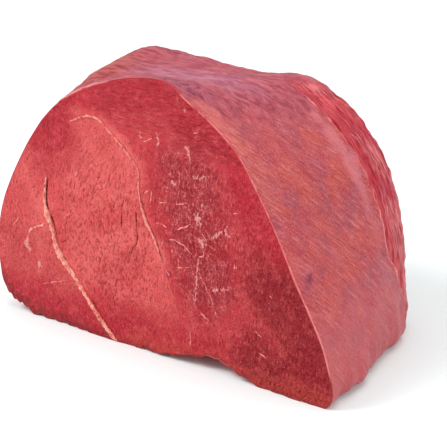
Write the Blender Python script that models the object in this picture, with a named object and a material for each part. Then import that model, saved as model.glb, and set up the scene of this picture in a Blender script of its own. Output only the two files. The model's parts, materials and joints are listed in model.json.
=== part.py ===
"""Beef sirloin tip roast: one raw, trimmed joint of meat that stands on its flat base.

The cut face looks along -Y, the silverskin side lies at +X, and the rounded natural end at +Y.
The origin is the middle of the base. Sizes are in metres, and +Z is up.
"""

import math

import bmesh
import bpy
from mathutils import Vector, noise

MM = 0.001

# Depths behind the cut face: the shoulder, the start of the rounded end, and the end itself
DEPTH_TO_SHOULDER = 80 * MM
DEPTH_TO_TURN = 74 * MM
DEPTH_TO_BACK = 112 * MM
END_ROUNDNESS = 2.6
END_DRAW_IN = 0.93
END_MIDDLE = (-6 * MM, 50 * MM)
END_DOME = 5 * MM

# How quickly the sections change from the cut face's outline to the shoulder's (1 is evenly)
SHOULDER_EASE = 0.8

# Facets across the width, up the height and along the depth
COLUMNS = 38
ROWS = 24
RINGS = 22
RING_CROWDING = 0.035

# Outline of the cut face, in millimetres (x, z): four points on each of the four sides, in the
# order base, silverskin side, top, left side, anticlockwise as seen from the front
CUT_OUTLINE = (
    (-87, 4.5), (-50, -1), (0, 0), (50, 0),
    (92.5, 0), (92.3, 24.5), (77, 55), (61, 85),
    (44, 110), (23, 124.5), (4, 133.5), (-28, 127),
    (-57, 110.5), (-79.5, 81), (-93.5, 50), (-96.5, 21),
)

# Outline of the roast at its shoulder, where the top and the sides start to turn in
SHOULDER_OUTLINE = (
    (-83, -2), (-46, -1), (0, -1), (45, -1),
    (85.5, 0), (86.8, 24), (84, 55), (74.5, 82),
    (54, 106), (28.5, 118), (-8, 117), (-42, 119),
    (-68, 116.5), (-85, 81), (-91, 50), (-90, 19),
)

# The gristle seam between two muscles, down the left of the cut face, in millimetres (x, z)
SEAM = (
    (-62, 76), (-63.8, 66), (-62.5, 58), (-59, 49), (-55.5, 37.6),
    (-49.5, 30.5), (-41.5, 21.5), (-32, 10), (-22, -1),
)
SEAM_TOP = 76 * MM
SEAM_RISE = 0.7 * MM
SEAM_HALF_WIDTH = 1.8 * MM
# The groove at the seam's right, and how far the meat at its left lies lower
SEAM_GROOVE = 1.0 * MM
SEAM_GROOVE_OFFSET = 2.8 * MM
SEAM_GROOVE_HALF_WIDTH = 2 * MM
FLAP_STEP = 0.5 * MM
FLAP_REACH = 12 * MM
# The lattice column that follows the seam, and how close its neighbours keep to it
SEAM_COLUMN = 8
SEAM_NEIGHBOUR = 2.6 * MM

# The shallow valley between the middle muscle and the marbled one, in millimetres (x, z)
VALLEY = ((28, 64), (25.5, 50), (26.5, 37), (32, 22), (35, 8), (35, -1))
VALLEY_DEPTH = 1.6 * MM
VALLEY_HALF_WIDTH = 5 * MM
VALLEY_FADE_HEIGHT = 40 * MM

# The cut face swells forward a little round this place
SWELL = 2.5 * MM
SWELL_MIDDLE = (-20 * MM, 55 * MM)
SWELL_HALF_SIZE = (60 * MM, 42 * MM)

# The front of the base curls up off the table at the foot of the valley
CURL_HEIGHT = 6.5 * MM
CURL_X = 30 * MM
CURL_HALF_WIDTH = 21 * MM
CURL_DEPTH = 26 * MM
CURL_FADE_HEIGHT = 24 * MM

# Humps and hollows along the top, each: x, depth, half width across, half width along the
# depth, and how far it stands proud, all in millimetres
TOP_HUMPS = (
    (-63, 64, 13, 20, 2.2),
    (-68, 36, 12, 12, -1.4),
    (25, 84, 10, 20, 1.1),
    (52, 80, 8, 20, 0.8),
)
TOP_HUMP_HEIGHTS = (88 * MM, 108 * MM)

# Uneven lumps of the outer surface and of the cut face: how high, and how many to the metre
OUTER_LUMPS = ((1.4 * MM, 26), (0.7 * MM, 75))
CUT_LUMPS = ((0.9 * MM, 45), (0.35 * MM, 120))
LUMP_FADE_DEPTH = 18 * MM

# Where the silverskin ends on the side: a step down to the bare muscle, and its long folds
MEMBRANE_DEPTH = 67 * MM
MEMBRANE_FOOT_SHIFT = 14 * MM
MEMBRANE_STEP = 1.3 * MM
FOLD_PITCH = 13 * MM
FOLD_HEIGHT = 0.8 * MM

# The scalloped hem at the foot of the silverskin side, and the tucks at the foot of the left
HEM_PITCH = 13 * MM
HEM_HEIGHT = 1.1 * MM
HEM_FLARE = 2 * MM
HEM_FLARE_DEPTH = 27 * MM
HEM_FLARE_HALF_WIDTH = 13 * MM
TUCK_PITCH = 17 * MM
TUCK_HEIGHT = 0.8 * MM
HEM_TOP = 24 * MM

# Points lower than this lie flat on the table
BASE_SNAP = 0.6 * MM
# A normal that points down more than this belongs to the underside
UNDERSIDE_NORMAL = -0.8


def mix(a, b, share):
    return a + (b - a) * share


def smooth_step(low, high, value):
    share = min(1.0, max(0.0, (value - low) / (high - low)))
    return share * share * (3 - 2 * share)


def bump(value, centre, half_width):
    """1 at the centre, falling smoothly to nothing over about two half widths."""
    return math.exp(-(((value - centre) / half_width) ** 2))


def spline(points, place, closed=False):
    """The point of a smooth curve through points (tuples of numbers) at place, in spans."""
    count = len(points)
    first = math.floor(place)
    if not closed:
        first = min(max(first, 0), count - 2)
    t = place - first

    def at(index):
        return points[index % count] if closed else points[min(max(index, 0), count - 1)]

    before, start, end, after = (at(first + step) for step in (-1, 0, 1, 2))
    return tuple(
        0.5 * (2 * q + (r - p) * t + (2 * p - 5 * q + 4 * r - s) * t * t
               + (3 * q - p - 3 * r + s) * t * t * t)
        for p, q, r, s in zip(before, start, end, after)
    )


def fine_path(points, steps=12):
    """A finely stepped path, in metres, through points given in millimetres."""
    places = range((len(points) - 1) * steps + 1)
    return [Vector(spline(points, place / steps)) * MM for place in places]


def path_offset(path, x, z):
    """How far a point lies from a path (positive to its right, seen from the front)."""
    here = Vector((x, z))
    nearest = min(range(len(path)), key=lambda index: (path[index] - here).length_squared)
    along = path[min(nearest + 1, len(path) - 1)] - path[max(nearest - 1, 0)]
    away = here - path[nearest]
    side = 1.0 if away.x * along.y - away.y * along.x < 0 else -1.0
    return side * away.length


def path_x(path, z):
    """The x of a path at this height; the path runs from its top to its foot."""
    return min(path, key=lambda point: abs(point.y - z)).x


def ring_depth(ring):
    """The rings lie closer together just behind the cut face and at the rounded end."""
    share = ring / RINGS
    return DEPTH_TO_BACK * (share - RING_CROWDING * math.sin(2 * math.pi * share))


def outline_at(depth):
    """The 16 outline points of the section at this depth behind the cut face, in metres."""
    eased = min(1.0, depth / DEPTH_TO_SHOULDER) ** SHOULDER_EASE
    past = max(0.0, depth - DEPTH_TO_TURN) / (DEPTH_TO_BACK - DEPTH_TO_TURN)
    size = (1 - (END_DRAW_IN * past) ** END_ROUNDNESS) ** (1 / END_ROUNDNESS)
    points = []
    for front, shoulder in zip(CUT_OUTLINE, SHOULDER_OUTLINE):
        x = mix(front[0], shoulder[0], eased) * MM
        z = mix(front[1], shoulder[1], eased) * MM
        points.append((mix(END_MIDDLE[0], x, size), mix(END_MIDDLE[1], z, size)))
    return points


def section_point(outline, across, up):
    """A point of the section, from the sides of its outline: across and up run from 0 to 1."""
    low = Vector(spline(outline, 4 * across, closed=True))
    right = Vector(spline(outline, 4 + 4 * up, closed=True))
    high = Vector(spline(outline, 12 - 4 * across, closed=True))
    left = Vector(spline(outline, 16 - 4 * up, closed=True))
    corners = [Vector(outline[4 * side]) for side in range(4)]
    between_low_high = mix(low, high, up)
    between_left_right = mix(left, right, across)
    between_corners = mix(mix(corners[0], corners[1], across), mix(corners[3], corners[2], across), up)
    return between_low_high + between_left_right - between_corners


def seam_share(outline, path, up, tries=240):
    """How far across the cut face the seam lies, in the lattice's row at this share of its height."""
    best_share, best_gap = 0.0, 1.0
    for attempt in range(1, tries // 2):
        share = attempt / tries
        x, z = section_point(outline, share, up)
        gap = abs(x - path_x(path, z))
        if gap < best_gap:
            best_share, best_gap = share, gap
    return best_share


def column_shares(outline, path):
    """For each row, the lattice's columns spread across it, with one of them on the seam."""
    plain_share = SEAM_COLUMN / COLUMNS
    rows = []
    for row in range(ROWS + 1):
        up = row / ROWS
        height = section_point(outline, plain_share, up)[1]
        held = 1 - smooth_step(SEAM_TOP, SEAM_TOP + 30 * MM, height)
        anchor = mix(plain_share, seam_share(outline, path, up), held)
        shares = []
        for column in range(COLUMNS + 1):
            if column <= SEAM_COLUMN:
                shares.append(anchor * column / SEAM_COLUMN)
            else:
                shares.append(mix(anchor, 1, (column - SEAM_COLUMN) / (COLUMNS - SEAM_COLUMN)))
        rows.append(shares)
    return rows


def beside_seam(path, column, x, z):
    """Keeps the two columns beside the seam close to it, so that it stands up as a narrow cord."""
    if abs(column - SEAM_COLUMN) != 1 or z > SEAM_TOP + 10 * MM:
        return x
    seam_x = path_x(path, z)
    near = seam_x + (column - SEAM_COLUMN) * SEAM_NEIGHBOUR
    held = 1 - smooth_step(SEAM_TOP - 8 * MM, SEAM_TOP + 8 * MM, z)
    return mix(x, near, held) if abs(x - seam_x) > SEAM_NEIGHBOUR else x


def lumps(layers, place):
    """The uneven height of a surface at a place, from layers of smooth noise."""
    return sum(height * noise.noise(place * often) for height, often in layers)


def cut_face_form(x, z, seam, valley):
    """How far the cut face stands forward of its plane, at a place on it."""
    forward = SWELL * bump(x, SWELL_MIDDLE[0], SWELL_HALF_SIZE[0])
    forward *= bump(z, SWELL_MIDDLE[1], SWELL_HALF_SIZE[1])
    forward += lumps(CUT_LUMPS, Vector((x, 0, z)))
    shown = 1 - smooth_step(SEAM_TOP - 4 * MM, SEAM_TOP + 6 * MM, z)
    offset = path_offset(seam, x, z)
    thick = 1 - 0.5 * smooth_step(45 * MM, 65 * MM, z)
    forward += shown * SEAM_RISE * thick * bump(offset, 0, SEAM_HALF_WIDTH)
    deep = 0.4 + 0.6 * smooth_step(40 * MM, 60 * MM, z)
    forward -= shown * SEAM_GROOVE * deep * bump(offset, SEAM_GROOVE_OFFSET, SEAM_GROOVE_HALF_WIDTH)
    flap = smooth_step(-FLAP_REACH, -FLAP_REACH / 4, offset) * (1 - smooth_step(-1.5 * MM, 0, offset))
    forward -= shown * FLAP_STEP * flap
    sunk = VALLEY_DEPTH * bump(path_offset(valley, x, z), 0, VALLEY_HALF_WIDTH)
    return forward - sunk * bump(z, 0, VALLEY_FADE_HEIGHT)


def curl(x, depth, z):
    """How far the front of the base is lifted off the table."""
    lift = CURL_HEIGHT * bump(x, CURL_X, CURL_HALF_WIDTH)
    return lift * (1 - smooth_step(0, CURL_DEPTH, depth)) * (1 - smooth_step(0, CURL_FADE_HEIGHT, z))


def wave(depth, pitch, wander):
    """A wave along the depth whose pitch wanders."""
    return math.sin(2 * math.pi * depth / pitch + 5 * noise.noise(Vector((depth * 45, wander, 2))))


def outer_form(place, depth):
    """How far the natural outer surface stands proud at a place, for its lumps, folds and hem."""
    x, z = place.x, place.z
    proud = lumps(OUTER_LUMPS, place) * smooth_step(0, LUMP_FADE_DEPTH, depth)
    high = smooth_step(*TOP_HUMP_HEIGHTS, z)
    for hump_x, hump_depth, half_x, half_depth, height in TOP_HUMPS:
        across = bump(x, hump_x * MM, half_x * MM)
        proud += height * MM * high * across * bump(depth, hump_depth * MM, half_depth * MM)

    edge = MEMBRANE_DEPTH + MEMBRANE_FOOT_SHIFT * (1 - smooth_step(15 * MM, 50 * MM, z))
    bare = smooth_step(edge - 2 * MM, edge + 4 * MM, depth) * smooth_step(20 * MM, 50 * MM, x)
    folds = FOLD_HEIGHT * wave(depth, FOLD_PITCH, x * 12) * smooth_step(5 * MM, 30 * MM, z)
    proud += bare * (folds - MEMBRANE_STEP)

    foot = (1 - smooth_step(5 * MM, HEM_TOP, z)) * smooth_step(2 * MM, 12 * MM, depth)
    hem = HEM_HEIGHT * wave(depth, HEM_PITCH, 0)
    hem += HEM_FLARE * bump(depth, HEM_FLARE_DEPTH, HEM_FLARE_HALF_WIDTH)
    proud += foot * hem * smooth_step(50 * MM, 75 * MM, x)
    proud += foot * TUCK_HEIGHT * wave(depth, TUCK_PITCH, 9) * smooth_step(60 * MM, 80 * MM, -x)
    return proud


def lattice():
    """The places of a box's surface lattice: every (column, ring, row) that lies on its outside."""
    for column in range(COLUMNS + 1):
        for ring in range(RINGS + 1):
            for row in range(ROWS + 1):
                if column in (0, COLUMNS) or ring in (0, RINGS) or row in (0, ROWS):
                    yield column, ring, row


def lattice_faces():
    """The four corners of each facet of the box, turned so that it faces outwards."""
    for row in range(ROWS):
        for column in range(COLUMNS):
            corners = (column, row), (column + 1, row), (column + 1, row + 1), (column, row + 1)
            yield [(i, 0, k) for i, k in corners]
            yield [(i, RINGS, k) for i, k in reversed(corners)]
    for ring in range(RINGS):
        for column in range(COLUMNS):
            corners = (column, ring), (column + 1, ring), (column + 1, ring + 1), (column, ring + 1)
            yield [(i, j, ROWS) for i, j in corners]
            yield [(i, j, 0) for i, j in reversed(corners)]
        for row in range(ROWS):
            corners = (ring, row), (ring + 1, row), (ring + 1, row + 1), (ring, row + 1)
            yield [(COLUMNS, j, k) for j, k in corners]
            yield [(0, j, k) for j, k in reversed(corners)]


def build_roast():
    """The roast as one closed body: a box lattice laid on the sections, then given its relief."""
    seam, valley = fine_path(SEAM), fine_path(VALLEY)
    outlines = [outline_at(ring_depth(ring)) for ring in range(RINGS + 1)]
    front_shares = column_shares(outlines[0], seam)
    mesh = bmesh.new()
    corners = {}
    for column, ring, row in lattice():
        depth = ring_depth(ring)
        front = 1 - smooth_step(0, DEPTH_TO_TURN, depth)
        across = mix(column / COLUMNS, front_shares[row][column], front)
        x, z = section_point(outlines[ring], across, row / ROWS)
        if ring == 0 and 0 < row < ROWS:
            x = beside_seam(seam, column, x, z)
        corners[column, ring, row] = mesh.verts.new((x, depth, z))
    for facet in lattice_faces():
        mesh.faces.new([corners[key] for key in facet])
    mesh.normal_update()

    moves = {}
    for (column, ring, row), corner in corners.items():
        x, depth, z = corner.co
        move = Vector((0, 0, curl(x, depth, z)))
        if ring == 0:
            move.y -= cut_face_form(x, z, seam, valley)
        elif corner.normal.z > UNDERSIDE_NORMAL:
            move += corner.normal * outer_form(corner.co, depth)
        if ring == RINGS:
            centred = (1 - (2 * column / COLUMNS - 1) ** 2) * (1 - (2 * row / ROWS - 1) ** 2)
            move.y += END_DOME * centred
        moves[corner] = move
    for corner, move in moves.items():
        corner.co += move
    seat(mesh)
    return mesh


def seat(mesh):
    """Flattens the underside where it rests, and puts the origin at the middle of the base."""
    for corner in mesh.verts:
        if corner.co.z < BASE_SNAP:
            corner.co.z = 0
    for axis in (0, 1):
        places = [corner.co[axis] for corner in mesh.verts]
        middle = (min(places) + max(places)) / 2
        for corner in mesh.verts:
            corner.co[axis] -= middle


def raw_beef():
    material = bpy.data.materials.new("raw_beef")
    material.use_nodes = True
    shader = material.node_tree.nodes["Principled BSDF"]
    shader.inputs["Base Color"].default_value = (0.52, 0.07, 0.08, 1)
    shader.inputs["Roughness"].default_value = 0.45
    shader.inputs["Metallic"].default_value = 0
    return material


def main():
    for obj in list(bpy.data.objects):
        bpy.data.objects.remove(obj)
    data = bpy.data.meshes.new("roast")
    mesh = build_roast()
    mesh.to_mesh(data)
    mesh.free()
    data.shade_smooth()
    data.set_sharp_from_angle(angle=math.radians(40))
    data.materials.append(raw_beef())
    bpy.context.scene.collection.objects.link(bpy.data.objects.new("roast", data))


main()
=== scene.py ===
"""Looks of the raw beef sirloin tip roast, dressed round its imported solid.

The cut face looks along -Y, the silverskin side lies at +X, and the rounded natural end at +Y.
"""
import json
import math

import bpy
import numpy as np
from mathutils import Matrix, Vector, kdtree, noise

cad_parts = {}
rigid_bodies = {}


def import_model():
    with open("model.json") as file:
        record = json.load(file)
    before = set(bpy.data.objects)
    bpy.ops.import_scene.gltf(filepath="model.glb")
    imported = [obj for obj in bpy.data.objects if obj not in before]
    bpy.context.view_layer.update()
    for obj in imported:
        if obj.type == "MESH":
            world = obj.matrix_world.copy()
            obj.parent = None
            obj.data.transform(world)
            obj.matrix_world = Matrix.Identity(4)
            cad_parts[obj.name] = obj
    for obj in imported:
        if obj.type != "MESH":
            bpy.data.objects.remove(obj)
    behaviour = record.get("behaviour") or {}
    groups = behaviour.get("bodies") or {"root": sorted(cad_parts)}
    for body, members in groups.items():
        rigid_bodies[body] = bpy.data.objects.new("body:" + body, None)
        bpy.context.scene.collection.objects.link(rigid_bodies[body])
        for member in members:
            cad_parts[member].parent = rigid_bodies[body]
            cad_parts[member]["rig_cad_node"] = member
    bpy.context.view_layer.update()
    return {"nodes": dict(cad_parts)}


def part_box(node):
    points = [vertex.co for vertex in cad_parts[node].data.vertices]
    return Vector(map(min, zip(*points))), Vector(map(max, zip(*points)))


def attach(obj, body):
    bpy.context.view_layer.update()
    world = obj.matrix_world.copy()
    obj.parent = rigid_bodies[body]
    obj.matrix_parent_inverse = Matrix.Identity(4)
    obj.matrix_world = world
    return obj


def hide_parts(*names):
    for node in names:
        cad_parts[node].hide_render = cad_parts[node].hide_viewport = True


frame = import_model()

MM = 0.001
SOLID = "roast"
BODY = "root"

# The cut face lies near this plane, and nothing past the reach behind it belongs to it
LOW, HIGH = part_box(SOLID)
CUT_PLANE = LOW.y + 3.1 * MM
CUT_FACE_REACH = 12 * MM
FACES_FORWARD = -0.38
BOX_MARGIN = 0.02 * MM
MERGE_GAP = 0.02 * MM
BASE_BORDER = 4 * MM
QUAD_ANGLE = math.radians(70)
SHARP_ANGLE = math.radians(52)
CREASE = 0.8
CREASE_FROM = 0.45

# The pale edge of the silverskin that frames the cut face, and the recess behind it
LIP_WIDTH = 0.75 * MM
LIP_OVERLAP = 0.2 * MM
LIP_SINKS = 0.04 * MM
LIP_BLEND = 3 * MM
WALL_DEPTH = 2.4 * MM
RECESS_DEPTH = 5 * MM
RECESS_NARROWS = 0.95

# Relief of the cut face
SMOOTHING_PASSES = 3
GRAIN_DEPTH = 0.5 * MM
CRACK_DEPTH = 0.9 * MM
SEAM_GROOVE = 1.0 * MM
ARC_GROOVE = 0.18 * MM
FAT_HEIGHT = 0.15 * MM
SWELL = 0.25 * MM

# The silverskin ends this far behind the cut face, and further at its foot, with streaks that slant
MEMBRANE_DEPTH = 67 * MM
MEMBRANE_FOOT_SHIFT = 14 * MM
SLANT = math.radians(50.6)

# Heights of the outside's relief
TORN_EDGE_HEIGHT = 0.5 * MM
FIBRE_HEIGHT = 0.6 * MM
BARE_LUMPS = 0.8 * MM
BARE_SINKS = 0.35 * MM
WRINKLES = 0.2 * MM
LUMPS = 0.4 * MM
FINE_LUMPS = 0.25 * MM
HIDDEN_SWELLS = 1.3 * MM
HEM_LUMPS = 1.1 * MM

# Small forms of the outside: middles in millimetres (x, y, z)
SHOULDER_KNOB = (-56, -20, 119)
KNOB_HEIGHT = 2.4 * MM
KNOB_REACH = 11 * MM
FRESH_MEAT = (51, 23, 107)

# Patches of the cut face: middle and reach in millimetres (x, z)
UPPER_LEFT = ((-62, 100), (22, 20))
ABOVE_SEAM = ((-36, 85), (20, 14))
MIDDLE_MUSCLE = ((-27, 50), (36, 46))
MARBLED_HIGH = ((22, 84), (19, 30))
MARBLED_LOW = ((30, 45), (15, 22))
DARK_LOW = ((58, 40), (14, 26))
DARK_HIGH = ((50, 62), (14, 24))
CLEAR_CRIMSON = (
    ((14, 52), (3, 6)), ((18.5, 40), (4, 6)), ((28.5, 29), (5, 7)), ((24, 62), (3, 7)), ((36, 60), (7, 5)),
)
# Patches of the top, as (x, y), and of the silverskin side, as (y, z)
TOP_ORANGE = ((-62, -20), (26, 26))
# The sheen on the top is a painted reflection of the sky
TOP_SHEEN = ((-8, -14), (36, 20))
TOP_MOTTLE = ((8, -44), (16, 9))
SIDE_SMUDGE = ((-48, 54), (7, 5))

# Marks on the cut face, in millimetres (x, z), as seen from the front
SEAM = (
    (-62.5, 76), (-63.8, 66), (-62.6, 58), (-59.6, 51), (-57.6, 42), (-55, 36.5),
    (-49.5, 30.5), (-41.5, 21.5), (-35, 13.8), (-30, 7.5), (-22, -1),
)
SEAM_WIDTHS = (0.35, 0.5, 0.6, 1.6, 0.75, 1.0, 2.2, 1.6, 1.0, 1.2, 1.2, 1.15, 1.2, 1.1, 1.0)
SEAM_BRANCH = ((-62.2, 52), (-67.5, 49.2), (-73.3, 46.1), (-75.8, 42.8), (-77, 36.6))
BRANCH_WIDTHS = (0.7, 0.4, 0.35, 0.5, 0.9)
ARC = (
    (-47, 105), (-39.7, 108.7), (-32.7, 109.9), (-28.2, 107.9), (-21.4, 103.2), (-16.4, 99.5),
    (-10.7, 94), (-7.2, 90), (-6.5, 81.4), (-5.3, 75), (-2.5, 67.5), (2.5, 58.4), (6.1, 49),
)
ARC_WIDTHS = (0.25, 0.5, 0.65, 0.6, 0.4, 0.35, 0.3, 0.3, 0.35, 0.4, 0.7, 0.8, 0.7, 0.55, 0.3)
# Fat threads and flecks: half width in millimetres, strength, then the points of each.
# From this width up they are flecks in the meat's own surface, and below it they are cords.
BLOB_WIDTH = 0.75
THREAD_THINS = 0.85
THREADS = (
    (0.5, 0.8, (-49.5, 76.8), (-47.6, 79.7)),
    (0.7, 0.9, (-44.6, 78.8), (-41.4, 83)),
    (0.7, 0.7, (-35, 86.7), (-30.3, 87.7)),
    (0.45, 0.7, (-29.7, 76.4), (-26, 79), (-25.2, 82.5)),
    (0.5, 0.5, (-52.1, 56.6), (-47, 60.8)),
    (0.8, 0.8, (-5.9, 106.8), (-5.4, 105.8)),
    (0.6, 0.8, (-5.4, 103.6), (-2, 104.6), (0.8, 106.6)),
    (0.8, 0.9, (4, 109.1), (4.2, 103.6)),
    (0.8, 0.7, (7, 98.5), (7.4, 97)),
    (1.0, 0.9, (12.3, 88.6), (12.8, 87.4)),
    (0.8, 0.9, (17.8, 122.6), (18.4, 122)),
    (0.8, 0.9, (19.9, 105.4), (20.6, 104)),
    (0.9, 1.0, (20.8, 103), (21.8, 99.6)),
    (0.6, 0.9, (23.2, 113.2), (26, 113.6)),
    (0.9, 0.9, (24.1, 92.9), (27, 93.2), (29.5, 94.5)),
    (0.6, 0.8, (-4.2, 79), (-2, 80.8), (0.7, 82.4), (0.3, 76.2)),
    (0.5, 0.7, (4.1, 77), (9, 78)),
    (0.7, 0.9, (8.3, 83.9), (9.4, 83.2)),
    (0.5, 0.7, (9.9, 88), (13.6, 87.7)),
    (0.7, 0.9, (13.8, 78.1), (17, 79), (20.1, 80.7)),
    (0.6, 0.8, (2, 66.5), (5.5, 67.4), (9.4, 66.4)),
    (0.6, 0.8, (14.2, 66.4), (17.9, 68.2), (22.4, 71)),
    (0.8, 1.0, (28.1, 81.4), (28.7, 80.8)),
    (1.7, 1.0, (25, 75.6), (26.4, 72.5)),
    (0.5, 0.9, (27.3, 69.2), (29, 66), (32.6, 63.8)),
    (2.0, 1.0, (28.2, 63.3), (28.5, 62.5)),
    (0.9, 0.9, (32.5, 66.1), (35.7, 68.3), (39.4, 71), (42.1, 69.3)),
    (0.7, 0.7, (39.4, 71), (41.4, 74.5)),
    (0.6, 0.9, (28.4, 60.5), (28.8, 57.2), (26.2, 55.6), (25.5, 51.5), (24.8, 46.4)),
    (0.8, 0.9, (24.8, 46.4), (24.7, 42), (24.3, 37)),
    (1.3, 0.8, (24.3, 38), (23.6, 34)),
    (0.5, 0.9, (25.4, 49), (28, 44.7), (30.7, 40.6), (33.3, 35.3), (35.1, 28.2)),
    (0.6, 0.8, (9.5, 60.5), (12.5, 61.3), (17.3, 60.4), (20.6, 58.3), (22.6, 56.3)),
    (0.5, 0.7, (11.9, 57.4), (12.3, 53.9)),
    (0.6, 0.9, (13.7, 48.3), (17.5, 48.6), (21.4, 50.1)),
    (1.0, 0.9, (8.8, 44.8), (9.6, 43.6)),
    (0.8, 0.8, (33, 40.7), (37.4, 42.9), (41.6, 43.9)),
    (0.8, 0.9, (46.2, 55.8), (46.8, 55)),
    (0.7, 0.8, (26.5, 28.4), (31.5, 25)),
    (0.5, 0.6, (43.4, 80.3), (48.4, 81.8)),
    (0.6, 0.7, (62.8, 46.9), (65.4, 45.2)),
    (0.6, 0.8, (55.6, 27.5), (59.3, 25)),
    (0.7, 0.8, (57.2, 17.6), (62.6, 15.7)),
    (0.5, 0.5, (20.2, 18.1), (20.7, 8.1)),
    (1.4, 1.0, (-77.8, 38.4), (-76.2, 35)),
    (0.5, 0.8, (-79.6, 37.6), (-74.6, 35.4)),
    (0.9, 0.8, (-69.4, 29.6), (-69.8, 24.3)),
    (0.5, 0.8, (-72.4, 27), (-67, 27.4)),
    (0.4, 0.5, (-68.2, 18.3), (-58.6, 22), (-49.8, 25.2)),
    (0.5, 0.5, (-80.8, 51.1), (-86.5, 44)),
)
# Cracks between fibre bundles, sunk into the face and darkened with painted shade: half width in
# millimetres, strength, then the points of each
CRACKS = (
    (0.45, 0.9, (-8.2, 69.5), (-7.6, 62.4), (-7.6, 55.7), (-10.4, 50.6), (-12.6, 45)),
    (0.4, 0.7, (-16.1, 71.7), (-16.3, 61.5)),
    (0.5, 0.8, (-54.2, 43.5), (-49.2, 47)),
    (0.35, 0.5, (-80.8, 51.1), (-72.5, 53.1), (-65.3, 54.8)),
    (0.35, 0.5, (56.5, 40.8), (56.6, 20.8)),
    (0.8, 0.35, (59.2, 50.7), (50.3, 38.7)),
    (0.45, 0.6, (12.5, 47), (15, 42), (20, 36.5)),
    (0.5, 0.6, (24, 58), (23.2, 66)),
)

# Lamps: name, place and size in metres, and power in watts
LOOK_AT = Vector((0, 0, 0.06))
WORLD_LIGHT = 0.55
LAMPS = (
    ("key", (-1.0, -0.85, 1.4), 0.8, 25),
    ("top", (0.1, 0.3, 1.6), 1.0, 10),
    ("side", (1.3, -0.3, 0.8), 0.8, 6),
)
FLOOR_SIZE = 6
FLOOR_COLOUR = (0.85, 0.92, 0.92, 1)

# The camera stands where the photo's stood: angles in degrees, lens in millimetres, distance in metres
AZIMUTH = 35
ELEVATION = 22
LENS = 120
CAMERA_DISTANCE = 0.66
CAMERA_TARGET = Vector((32.38, -47.58, 70)) * MM


def smooth_step(low, high, value):
    share = np.clip((value - low) / (high - low), 0, 1)
    return share * share * (3 - 2 * share)


def oval(x, z, middle, reach):
    """1 in the middle of an oval patch, falling softly to nothing past its reach."""
    away = ((x - middle[0] * MM) / (reach[0] * MM)) ** 2 + ((z - middle[1] * MM) / (reach[1] * MM)) ** 2
    return np.exp(-away)


def path_through(points, steps=6):
    """A finely stepped line, in metres, through points given in millimetres."""
    given = [Vector(point) for point in points]
    ends = [2 * given[0] - given[1], *given, 2 * given[-1] - given[-2]]
    line = []
    for before, start, end, after in zip(ends, ends[1:], ends[2:], ends[3:]):
        for step in range(steps):
            t = step / steps
            bend = (2 * start + (end - before) * t + (2 * before - 5 * start + 4 * end - after) * t * t
                    + (3 * start - before - 3 * end + after) * t ** 3)
            line.append(bend / 2)
    line.append(given[-1])
    return np.array([tuple(point) for point in line]) * MM


def gap_to(x, z, line):
    """How far points lie from a line, on which side (right is positive), and how far along it."""
    best = np.full(len(x), 1e9)
    side = np.zeros(len(x))
    along = np.zeros(len(x))
    run = 0.0
    for start, end in zip(line, line[1:]):
        step = end - start
        length = max(float(np.hypot(*step)), 1e-9)
        share = np.clip(((x - start[0]) * step[0] + (z - start[1]) * step[1]) / length ** 2, 0, 1)
        away_x = x - start[0] - share * step[0]
        away_z = z - start[1] - share * step[1]
        gap = np.hypot(away_x, away_z)
        nearer = gap < best
        best = np.where(nearer, gap, best)
        side = np.where(nearer, np.sign(away_z * step[0] - away_x * step[1]), side)
        along = np.where(nearer, run + share * length, along)
        run += length
    return best, side, along


def rough(places, pitch, stretch=(1, 1, 1), seed=0):
    """Soft noise, about -1 to 1, with lumps of this pitch in metres, stretched along the axes."""
    scaled = places / (np.array(stretch) * pitch) + 19.7 * seed
    return np.array([noise.noise(place) for place in scaled.tolist()])


def stray(values, places, wide, fine, seeds):
    """Values that wander: wide and fine each say how far, and over what pitch, in millimetres."""
    for (reach, pitch), seed in zip((wide, fine), seeds):
        values = values + reach * MM * rough(places, pitch * MM, seed=seed)
    return values


def drift_of(places, pitch, seeds):
    """Soft wandering in the plane of the cut face, about -1 to 1 each way."""
    sideways, upward = (rough(places, pitch, seed=seed) for seed in seeds)
    return np.stack([sideways, np.zeros(len(places)), upward], 1)


def choose_only(piece):
    bpy.ops.object.select_all(action="DESELECT")
    piece.hide_set(False)
    piece.select_set(True)
    bpy.context.view_layer.objects.active = piece


def choose(piece, test, kind="faces"):
    """Selects the faces or edges that pass the test, and leaves the piece in edit mode."""
    choose_only(piece)
    mesh = piece.data
    bpy.ops.object.mode_set(mode="EDIT")
    bpy.ops.mesh.select_mode(type="FACE" if kind == "faces" else "EDGE")
    bpy.ops.mesh.select_all(action="DESELECT")
    bpy.ops.object.mode_set(mode="OBJECT")
    found = mesh.polygons if kind == "faces" else mesh.edges
    for part in found:
        part.select = bool(test(part))
    bpy.ops.object.mode_set(mode="EDIT")


def join(pieces, name):
    """Makes one piece of many, under this name."""
    bpy.ops.object.select_all(action="DESELECT")
    for piece in pieces:
        piece.select_set(True)
    bpy.context.view_layer.objects.active = pieces[0]
    bpy.ops.object.join()
    whole = bpy.context.object
    whole.name = name
    whole.data.name = name
    return whole


def leave_edit():
    bpy.ops.object.mode_set(mode="OBJECT")


def refine(piece, levels):
    choose_only(piece)
    smoother = piece.modifiers.new("refine", "SUBSURF")
    smoother.levels = levels
    smoother.render_levels = levels
    smoother.boundary_smooth = "PRESERVE_CORNERS"
    bpy.ops.object.modifier_apply(modifier=smoother.name)


def corners_of(piece):
    places = np.empty(len(piece.data.vertices) * 3)
    piece.data.vertices.foreach_get("co", places)
    return places.reshape(-1, 3)


def normals_of(piece):
    normals = np.empty(len(piece.data.vertices) * 3)
    piece.data.vertex_normals.foreach_get("vector", normals)
    return normals.reshape(-1, 3)


def move_corners(piece, places):
    piece.data.vertices.foreach_set("co", places.astype(np.float32).ravel())
    piece.data.update()


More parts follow.
